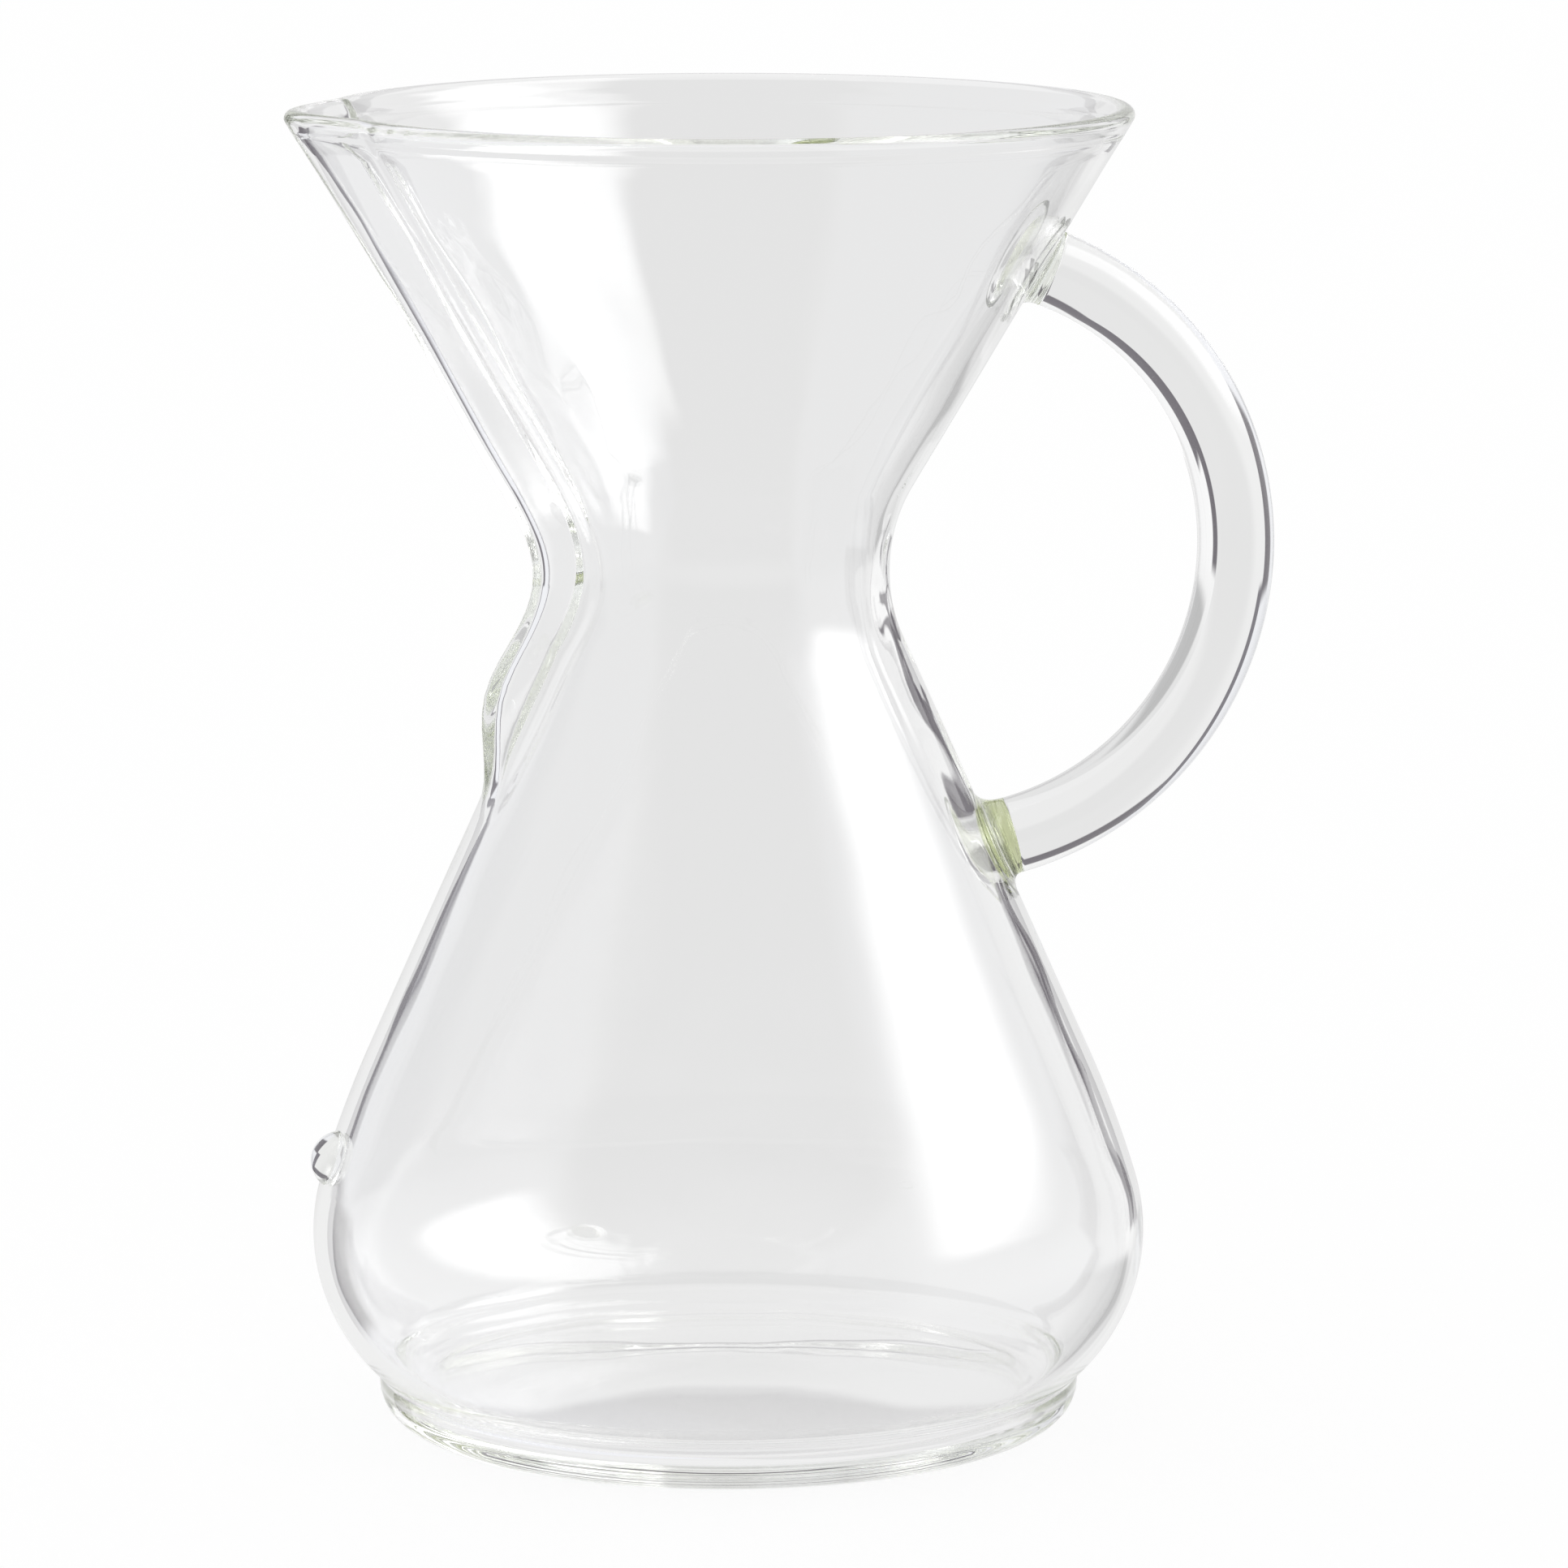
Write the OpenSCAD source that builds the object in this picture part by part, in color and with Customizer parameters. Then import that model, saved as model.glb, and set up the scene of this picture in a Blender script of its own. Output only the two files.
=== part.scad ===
// Pour-over coffee maker of clear borosilicate glass, with a glass handle.
// Millimetres. +Z is up, the base stands on z = 0 and the axis of the flask is x = y = 0.
// The spout points to -X and the handle to +X.

/* [Overall] */
// Height from the table to the top of the rim
height = 225; // [222:1:245]
// Thickness of the blown wall, from rim to foot
wall = 3; // [2.4:0.1:3.6]

/* [Funnel and neck] */
// Outer radius of the mouth at the widest point of the rounded rim
mouth_r = 68.4; // [64:0.1:72]
// Outer radius of the neck where it is narrowest
neck_r = 27.6; // [25:0.1:31]
// Height of the narrowest point of the neck
neck_z = 146; // [143:0.5:149]
// Radius of the bend that leads from the neck into the funnel and into the shoulder
neck_bend = 29; // [22:0.5:34]

/* [Flask] */
// Outer radius of the flask where it is widest
belly_r = 71.2; // [69:0.1:74]
// Height of the widest point of the flask
belly_z = 32.5; // [31:0.5:34]
// Radius of the round of the belly, seen from the side
belly_bend = 31.5; // [29:0.5:33]
// How early the long curve of the shoulder leaves the belly, in degrees before a straight one would
shoulder_lead = 6.4; // [4:0.1:8]
// Radius of the long curve between the belly and the straight shoulder
shoulder_bend = 195; // [150:5:215]

/* [Foot and floor] */
// How far the foot stands back from the widest point of the flask
foot_inset = 11.2; // [9:0.1:13]
// Radius of the rounded lower edge of the foot
foot_corner = 6.2; // [5:0.1:6.6]
// Radius of the hollow that parts the foot from the belly
foot_crease = 1.6; // [1:0.1:2]
// Thickness of the floor
floor_wall = 3.8; // [3:0.1:4.2]
// Height of the pushed-up middle of the floor
floor_rise = 2.4; // [1:0.1:4]
// Width of the ring on which the coffee maker stands
stand_ring = 2; // [1:0.1:4]

/* [Spout and air channel] */
// Depth of the channel at the rim, measured outward from the funnel
spout_depth = 6.1; // [4:0.1:8]
// Depth of the channel where the funnel bends into the neck
bend_depth = 7.3; // [5:0.1:8]
// Depth of the channel at the narrowest point of the neck
neck_depth = 5.8; // [4:0.1:8]
// Depth of the channel on the shoulder, where it is deepest
shoulder_depth = 8; // [5:0.1:9]
// Half the angle that the channel spans at the rim, seen from the axis, in degrees
spout_half_angle = 20.5; // [16:0.5:26]
// Half the angle that the channel spans at the neck, in degrees
neck_half_angle = 26.5; // [20:0.5:28]
// Half the angle that the channel spans at its closed lower end, in degrees
end_half_angle = 11; // [9:0.5:14]
// How far below the narrowest point of the neck the channel ends
channel_drop = 41.5; // [37:0.5:46]

/* [Handle] */
// Diameter of the glass rod
rod_d = 13.2; // [11:0.1:14]
// How far below the rim the middle of the rod meets the funnel
upper_weld_drop = 27.6; // [24:0.1:32]
// How far below the narrowest point of the neck the middle of the rod meets the shoulder
lower_weld_drop = 47.4; // [42:0.1:52]
// How far the middle of the rod bows out from the line between its two welds
bow_reach = 38; // [34:0.1:42]
// Thickness of the melted glass between the rod's upper end and the funnel
upper_weld_t = 2; // [1:0.1:3]
// Thickness of the melted glass between the rod's lower end and the shoulder
lower_weld_t = 3; // [1:0.1:4]
// Radius of the melted fillet round each end of the rod
weld_fillet = 3.6; // [2.5:0.1:4.5]

/* [Level button] */
// Diameter of the button
button_d = 9.6; // [7:0.1:12]
// How far the button stands out from the wall
button_proud = 3.4; // [2:0.1:4]
// Height of the middle of the button, the level of the half-full flask
button_z = 46.5; // [44:0.5:58]

/* [Hidden] */

clear_glass = "#E3E7E5";
rod_glass = "#DDE1DF";
weld_glass = "#C9D0B4";
button_glass = "#CFD3C6";
turn = 360;
half_turn = 180;
right_angle = 90;
round_fn = 96;
rod_fn = 48;
turned_fn = 360;

// Steps along the curves of the outline and round the axis
rim_steps = 6;
inner_rim_steps = 3;
neck_steps = 9;
belly_steps = 12;
shoulder_steps = 6;
crease_steps = 3;
corner_steps = 6;
floor_steps = 8;
funnel_steps = 7;
channel_steps = 9;
dome_steps = 8;
fillet_steps = 5;
channel_columns = 24;
plain_columns = 11;

// Centres of the circles that the outline follows, as radius and height
neck_c = [neck_r + neck_bend, neck_z];
belly_c = [belly_r - belly_bend, belly_z];
rim_c = [mouth_r - wall / 2, height - wall / 2];
belly_turn = tangent_slope(belly_c, belly_bend, neck_c, neck_bend) - shoulder_lead;
shoulder_c = belly_c - (shoulder_bend - belly_bend) * [cos(belly_turn), sin(belly_turn)];
channel_end_z = neck_z - channel_drop;
foot_r = belly_r - foot_inset;
crease_x = foot_r + foot_crease;
crease_c = [crease_x, belly_z - sqrt(pow(belly_bend + foot_crease, 2) - pow(crease_x - belly_c.x, 2))];
corner_c = [foot_r - foot_corner, foot_corner];

// Slope of the line that touches two circles of opposite bend, as the angle of its outward normal
function angle_of(v) = atan2(v.y, v.x);
function tangent_slope(low_c, low_r, high_c, high_r) =
    angle_of(high_c - low_c) - acos((low_r + high_r) / norm(high_c - low_c));
shoulder_slope = tangent_slope(shoulder_c, shoulder_bend, neck_c, neck_bend);
funnel_slope = angle_of(neck_c - rim_c)
    + acos((neck_bend + wall / 2) / norm(neck_c - rim_c));
crease_turn = angle_of(belly_c - crease_c);

// Points of an arc, from one angle to the other, both ends included
function arc(c, r, from, to, steps) =
    [for (i = [0 : steps]) let (a = from + (to - from) * i / steps) c + r * [cos(a), sin(a)]];

// Points that part a straight stretch into equal steps, both ends left out
function between(a, b, steps) = [for (i = [1 : steps - 1]) a + (b - a) * i / steps];

function last(list) = list[len(list) - 1];
function reversed(list) = [for (i = [len(list) - 1 : -1 : 0]) list[i]];

// A smooth swell from 0 to 1, level at both ends
function ease(t) = pow(sin(right_angle * min(max(t, 0), 1)), 2);

// Points set on a grid of a thousandth of a millimetre, so that the two halves of the body meet exactly
grid = 0.001;
function on_grid(points) = [for (p = points) [round(p.x / grid), round(p.y / grid)] * grid];

// The wall at a given depth under the outer skin: from the crease up to the channel's closed end
function low_wall(depth) =
    let (
        crease = arc(crease_c, foot_crease + depth, half_turn, crease_turn, crease_steps),
        belly = arc(belly_c, belly_bend - depth, crease_turn - half_turn, belly_turn, belly_steps),
        shoulder = arc(shoulder_c, shoulder_bend - depth, belly_turn, shoulder_slope, shoulder_steps),
        low = last(shoulder),
        high = neck_c + (neck_bend + depth) * [cos(half_turn + shoulder_slope),
            sin(half_turn + shoulder_slope)]
    )
    concat(crease, [for (i = [1 : belly_steps]) belly[i]], [for (i = [1 : shoulder_steps]) shoulder[i]],
        [low + (high - low) * (channel_end_z - low.y) / (high.y - low.y)]);

// The wall from there over the neck to the rim
function high_wall(depth) =
    let (
        neck = arc(neck_c, neck_bend + depth, half_turn + shoulder_slope, half_turn + funnel_slope,
            neck_steps),
        rim = rim_c + (wall / 2 - depth) * [cos(funnel_slope), sin(funnel_slope)]
    )
    concat(between(last(low_wall(depth)), neck[0], channel_steps), neck,
        between(last(neck), rim, funnel_steps));
function wall_line(depth) = concat(low_wall(depth), high_wall(depth));

// The rounded rim, from the outer skin over the top to the inner skin
rim_line = concat(arc(rim_c, wall / 2, funnel_slope, right_angle, rim_steps),
    arc(rim_c, wall / 2, right_angle + (right_angle + funnel_slope) / inner_rim_steps,
        half_turn + funnel_slope, inner_rim_steps - 1));

// The underside and the lower edge of the foot, from the middle outward
stand_r = corner_c.x - stand_ring;
underside = [for (i = [0 : floor_steps])
    [stand_r * i / floor_steps, floor_rise * (1 - ease(i / floor_steps))]];
foot_edge = arc(corner_c, foot_corner, -right_angle, 0, corner_steps);

// The floor inside, from the foot's inner wall to the middle
inner_corner_h = crease_c.y - floor_wall;
inner_foot_r = foot_r - wall;
inner_corner_w = foot_corner;
inner_edge = [for (i = [0 : corner_steps]) let (a = right_angle * i / corner_steps)
    [inner_foot_r - inner_corner_w * (1 - cos(a)), floor_wall + inner_corner_h * (1 - sin(a))]];
inner_floor_r = inner_foot_r - inner_corner_w;
inner_floor = [for (i = [floor_steps - 1 : -1 : 0])
    [inner_floor_r * i / floor_steps, floor_wall + floor_rise * (1 - ease(i / floor_steps))]];

outline = on_grid(concat(underside, foot_edge, wall_line(0), rim_line, reversed(wall_line(wall)),
    [for (i = [1 : corner_steps]) inner_edge[i]], inner_floor));

// Heights at which the channel's depth and half angle are set: its closed end, its deepest place on
// the shoulder, the neck, the bend above it, the middle of the funnel and the rim
deepest_share = 0.58;
bend_z = neck_c.y + neck_bend * sin(-funnel_slope);
channel_z = [channel_end_z, channel_end_z + (neck_z - channel_end_z) * deepest_share, neck_z, bend_z,
    (bend_z + height) / 2, height];
channel_depth = [0, shoulder_depth, neck_depth, bend_depth, spout_depth, spout_depth];
channel_half_angle = [end_half_angle, (end_half_angle + spout_half_angle) / 2, neck_half_angle,
    (neck_half_angle + spout_half_angle) / 2, spout_half_angle, spout_half_angle];

// Value at a height, eased from each of the set heights to the next
function stage_at(z, i = 0) =
    i >= len(channel_z) - 2 || z < channel_z[i + 1] ? i : stage_at(z, i + 1);
function eased(z, values) =
    let (i = stage_at(z), t = (z - channel_z[i]) / (channel_z[i + 1] - channel_z[i]))
    values[i] + (values[i + 1] - values[i]) * ease(t);

// Cross-section of the channel: straight flanks, a rounded nose and hollow shoulders.
// 1 in the middle, 0 at the edges, for t from 0 to 1.
nose_share = 0.22;
shoulder_power = 1.35;
function channel_form(t) = t >= 1 ? 0 :
    pow(1 - (sqrt(t * t + nose_share * nose_share) - nose_share)
        / (sqrt(1 + nose_share * nose_share) - nose_share), shoulder_power);

// How far the channel lifts the skin outward, at an angle from the spout's middle
function channel_lift(angle, z) = z <= channel_end_z ? 0 :
    eased(z, channel_depth) * channel_form(abs(angle) / eased(z, channel_half_angle));

// The half of the wall on the spout's side, from the channel's closed end to the rim. Its columns
// stand side by side round the axis: close together over the channel, wider apart beside it. Its
// lower edge is a little thicker than the turned wall, so that its flats cover the round edge there.
seam_lip = 0.15;
span_margin = 1.5;
channel_span = max(channel_half_angle) + span_margin;
half_line = on_grid(concat([last(low_wall(0)) + [seam_lip, 0]], high_wall(0), rim_line,
    reversed(high_wall(wall)), [last(low_wall(wall)) - [seam_lip, 0]]));
plain_angles = [for (i = [0 : plain_columns - 1])
    channel_span + (right_angle - channel_span) * (plain_columns - i) / plain_columns];
angles = concat(-plain_angles, [for (i = [0 : channel_columns])
    channel_span * (2 * i / channel_columns - 1)], reversed(plain_angles));

module spout_half() {
    columns = len(angles);
    rings = len(half_line);
    points = [for (p = half_line) for (a = angles)
        let (r = p.x + channel_lift(a, p.y)) [-r * cos(a), -r * sin(a), p.y]];
    function at(ring, column) = (ring % rings) * columns + column;
    skin = [for (k = [0 : rings - 1]) for (c = [0 : columns - 2]) for (f = [
        [at(k, c), at(k + 1, c), at(k + 1, c + 1)],
        [at(k, c), at(k + 1, c + 1), at(k, c + 1)]]) f];
    half_way = ceil(rings / 2) - 2;
    ends = [for (k = [0 : half_way]) let (m = rings - 1 - k, n = columns - 1) for (f = [
        [at(k + 1, 0), at(k, 0), at(m, 0)], [at(m - 1, 0), at(k + 1, 0), at(m, 0)],
        [at(k, n), at(k + 1, n), at(m, n)], [at(k + 1, n), at(m - 1, n), at(m, n)]])
        if (f[0] != f[1]) f];
    polyhedron(points, concat(skin, ends), convexity = 10);
}

// The room that this half takes in the turned wall
module half_room() {
    reach = mouth_r + spout_depth + wall;
    translate([-reach, -reach, channel_end_z])
    cube([reach, 2 * reach, height - channel_end_z + wall]);
}

// One blown piece of glass: funnel, spout with its air channel, neck, flask, foot and floor
module glass_body() {
    color(clear_glass) {
        difference() {
            rotate_extrude($fn = turned_fn) polygon(outline);
            half_room();
        }
        spout_half();
    }
}

// The outer wall without the channel, as a solid: what the welds and the button are trimmed to
outer_wall = on_grid(wall_line(0));
function wall_r(z) = lookup(z, [for (p = outer_wall) [p.y, p.x]]);
module wall_core() {
    rotate_extrude($fn = turned_fn)
    polygon(on_grid(concat([[0, 0]], foot_edge, outer_wall, rim_line, [[0, rim_c.y]])));
}

// The bow of the handle, in the plane of radius and height: an arc from weld to weld
upper_joint = [wall_r(height - upper_weld_drop), height - upper_weld_drop];
lower_joint = [wall_r(neck_z - lower_weld_drop), neck_z - lower_weld_drop];
chord = upper_joint - lower_joint;
half_chord = norm(chord) / 2;
bow_r = (pow(half_chord, 2) + pow(bow_reach, 2)) / (2 * bow_reach);
bow_c = (upper_joint + lower_joint) / 2 - (bow_r - bow_reach) * [chord.y, -chord.x] / norm(chord);
function arc_turn(length) = length / bow_r * half_turn / PI;
rod_top = angle_of(upper_joint - bow_c) - arc_turn(upper_weld_t);
rod_foot = angle_of(lower_joint - bow_c) + arc_turn(lower_weld_t);

// Places its children at an angle of the bow, with +Z along the rod
module on_bow(angle) {
    translate([bow_c.x, 0, bow_c.y]) rotate([0, -angle, 0]) translate([bow_r, 0, 0]) children();
}

// Solid glass rod, bent to one arc
module handle() {
    color(rod_glass)
    translate([bow_c.x, 0, bow_c.y]) rotate([right_angle, 0, 0]) rotate([0, 0, rod_foot])
    rotate_extrude(angle = rod_top - rod_foot, $fn = round_fn)
    translate([bow_r, 0]) circle(d = rod_d, $fn = rod_fn);
}

// Melted collar that flares from the rod's end into the wall, before the wall trims it
module weld_collar() {
    outer = rod_d / 2 + weld_fillet;
    deep = weld_fillet + wall;
    rotate_extrude($fn = round_fn)
    polygon(concat([[0, 0]], arc([outer, 0], weld_fillet, half_turn, right_angle, fillet_steps),
        [[outer, deep], [0, deep]]));
}

module upper_handle_weld() {
    color(weld_glass)
    difference() {
        on_bow(rod_top) weld_collar();
        wall_core();
    }
}

module lower_handle_weld() {
    color(weld_glass)
    difference() {
        on_bow(rod_foot) mirror([0, 0, 1]) weld_collar();
        wall_core();
    }
}

// Small domed button on the wall below the spout, square to the wall
module level_button() {
    lower_r = wall_r(button_z - button_d / 2);
    upper_r = wall_r(button_z + button_d / 2);
    tilt = atan((lower_r - upper_r) / button_d);
    dome_r = (pow(button_d / 2, 2) + pow(button_proud, 2)) / (2 * button_proud);
    dome_turn = asin(button_d / 2 / dome_r);
    color(button_glass)
    difference() {
        translate([-wall_r(button_z), 0, button_z]) rotate([0, tilt - right_angle, 0])
        rotate_extrude($fn = rod_fn)
        polygon(concat([[0, -wall / 2], [button_d / 2, -wall / 2]],
            arc([0, button_proud - dome_r], dome_r, right_angle - dome_turn, right_angle, dome_steps)));
        wall_core();
    }
}

glass_body();
handle();
upper_handle_weld();
lower_handle_weld();
level_button();
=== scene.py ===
"""Looks of a pour-over coffee maker of clear borosilicate glass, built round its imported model.

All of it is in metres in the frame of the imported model: +Z up along the axis of the flask, the
spout towards -X and the handle towards +X. Sizes that come from the part's source are kept in
millimetres.
"""

import logging
import math
from dataclasses import dataclass
from enum import Enum
from typing import Any, Callable, Sequence

import bmesh
import bpy
from bmesh.types import BMEdge, BMesh
from bpy.types import Material, Node, NodeSocket, NodeTree, Object
from mathutils import Matrix, Vector, noise
from mathutils.bvhtree import BVHTree


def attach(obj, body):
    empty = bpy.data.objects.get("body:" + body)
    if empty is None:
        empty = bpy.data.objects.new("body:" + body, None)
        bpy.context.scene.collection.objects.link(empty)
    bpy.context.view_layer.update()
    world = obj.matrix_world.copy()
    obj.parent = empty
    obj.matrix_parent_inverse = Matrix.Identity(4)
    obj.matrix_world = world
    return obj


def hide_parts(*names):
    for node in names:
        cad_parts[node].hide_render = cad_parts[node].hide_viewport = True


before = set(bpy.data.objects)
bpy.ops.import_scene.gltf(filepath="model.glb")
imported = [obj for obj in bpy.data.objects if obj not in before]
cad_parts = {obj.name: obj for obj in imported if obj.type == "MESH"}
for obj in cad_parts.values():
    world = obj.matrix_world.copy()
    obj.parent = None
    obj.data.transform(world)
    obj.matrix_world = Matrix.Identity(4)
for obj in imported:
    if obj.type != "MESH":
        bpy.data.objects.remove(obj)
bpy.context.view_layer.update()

LOG = logging.getLogger("coffee_maker")
MM = 0.001
FRAME_PIXELS = 1932
MERGE = 1e-6


# ---- helpers


def linear(colour: str) -> tuple[float, float, float, float]:
    """Turns an sRGB hex colour into the linear colour that Blender's sockets take.

    Args:
        colour: The colour, written as "#RRGGBB".

    Returns:
        Linear red, green and blue, and an alpha of 1.
    """
    channels = [int(colour[i:i + 2], 16) / 255 for i in (1, 3, 5)]
    red, green, blue = (c / 12.92 if c <= 0.04045 else ((c + 0.055) / 1.055) ** 2.4
                        for c in channels)
    return red, green, blue, 1.0


def add_node(tree: NodeTree, kind: str, settings: dict[str, Any] | None = None,
             values: dict[Any, Any] | None = None) -> Node:
    """Adds a node with its settings, its socket values and the links into it.

    Args:
        tree: The node tree that gets the node.
        kind: The node's type after "ShaderNode", such as "Math".
        settings: Properties of the node by name.
        values: Input sockets by name or number, each with a value or the socket to link from.

    Returns:
        The new node.
    """
    node = tree.nodes.new(f"ShaderNode{kind}")
    for name, value in (settings or {}).items():
        setattr(node, name, value)
    for name, value in (values or {}).items():
        if isinstance(value, NodeSocket):
            tree.links.new(value, node.inputs[name])
        else:
            node.inputs[name].default_value = value
    return node


def ease(share: float) -> float:
    """Returns a smooth swell from 0 to 1 that is level at both ends."""
    return math.sin(math.pi / 2 * min(max(share, 0.0), 1.0)) ** 2


def drift(place: Vector) -> float:
    """Returns a value from 0 to 1 that changes slowly from place to place."""
    return 0.5 + 0.5 * noise.noise(place)


def rise(value: float, low: float, high: float) -> float:
    """Returns a smooth swell from 0 to 1 as a value goes from low to high."""
    return ease((value - low) / (high - low))


def plateau(value: float, stops: Sequence[float]) -> float:
    """Swells smoothly from 0 to 1 and back.

    Args:
        value: The height or angle that is read.
        stops: Where the swell starts, is full, starts to fall and ends.

    Returns:
        The share, from 0 to 1.
    """
    start, full, falling, end = stops
    return rise(value, start, full) * rise(value, end, falling)


def arc(centre: Vector, radius: float, start: float, stop: float, steps: int) -> list[Vector]:
    """Lays points along an arc in the plane of radius and height.

    Args:
        centre: Centre of the circle, as radius and height.
        radius: Radius of the circle.
        start: Angle of the first point, in degrees.
        stop: Angle of the last point, in degrees.
        steps: Number of equal steps.

    Returns:
        The points, both ends included.
    """
    turns = [math.radians(start + (stop - start) * i / steps) for i in range(steps + 1)]
    return [centre + radius * Vector((math.cos(t), math.sin(t))) for t in turns]


def between(first: Vector, last: Vector, steps: int) -> list[Vector]:
    """Parts a straight stretch into equal steps, both ends left out."""
    return [first.lerp(last, i / steps) for i in range(1, steps)]


def angle_of(direction: Vector) -> float:
    """Returns the angle of a direction in the plane of radius and height, in degrees."""
    return math.degrees(math.atan2(direction.y, direction.x))


def tangent_slope(low: Vector, low_radius: float, high: Vector, high_radius: float) -> float:
    """Finds the slope of the line that touches two circles of opposite bend.

    Args:
        low: Centre of the lower circle.
        low_radius: Radius of the lower circle.
        high: Centre of the upper circle.
        high_radius: Radius of the upper circle.

    Returns:
        The angle of the line's outward normal, in degrees.
    """
    apart = high - low
    return angle_of(apart) - math.degrees(math.acos((low_radius + high_radius) / apart.length))


def make_piece(name: str, mesh_data: BMesh) -> Object:
    """Closes a bmesh, turns its faces outward and puts it in the scene as a smooth piece.

    Args:
        name: Name of the piece.
        mesh_data: The bmesh, which is freed.

    Returns:
        The new object, at the origin.
    """
    bmesh.ops.remove_doubles(mesh_data, verts=mesh_data.verts, dist=MERGE)
    bmesh.ops.dissolve_degenerate(mesh_data, edges=mesh_data.edges, dist=MERGE)
    bmesh.ops.recalc_face_normals(mesh_data, faces=mesh_data.faces)
    for face in mesh_data.faces:
        face.smooth = True
    mesh = bpy.data.meshes.new(name)
    mesh_data.to_mesh(mesh)
    mesh_data.free()
    piece = bpy.data.objects.new(name, mesh)
    bpy.context.scene.collection.objects.link(piece)
    return piece


def turned(rings: int, columns: int, place: Callable[[int, float], Vector]) -> BMesh:
    """Turns a column with a pole at each end, and moves each of its vertices to its place.

    Args:
        rings: Number of rings between the two poles.
        columns: Number of columns round the axis.
        place: Gives the place for a ring number and an angle in radians.

    Returns:
        The bmesh.
    """
    blank = bmesh.new()
    line = [blank.verts.new((0.0 if k in (0, rings + 1) else 1.0, 0.0, float(k)))
            for k in range(rings + 2)]
    edges = [blank.edges.new(pair) for pair in zip(line, line[1:])]
    bmesh.ops.spin(blank, geom=line + edges, axis=(0, 0, 1), angle=math.tau, steps=columns,
                   use_merge=True)
    bmesh.ops.remove_doubles(blank, verts=blank.verts, dist=MERGE)
    for vert in blank.verts:
        vert.co = place(round(vert.co.z), math.atan2(vert.co.y, vert.co.x))
    return blank


# ---- finishes


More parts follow.
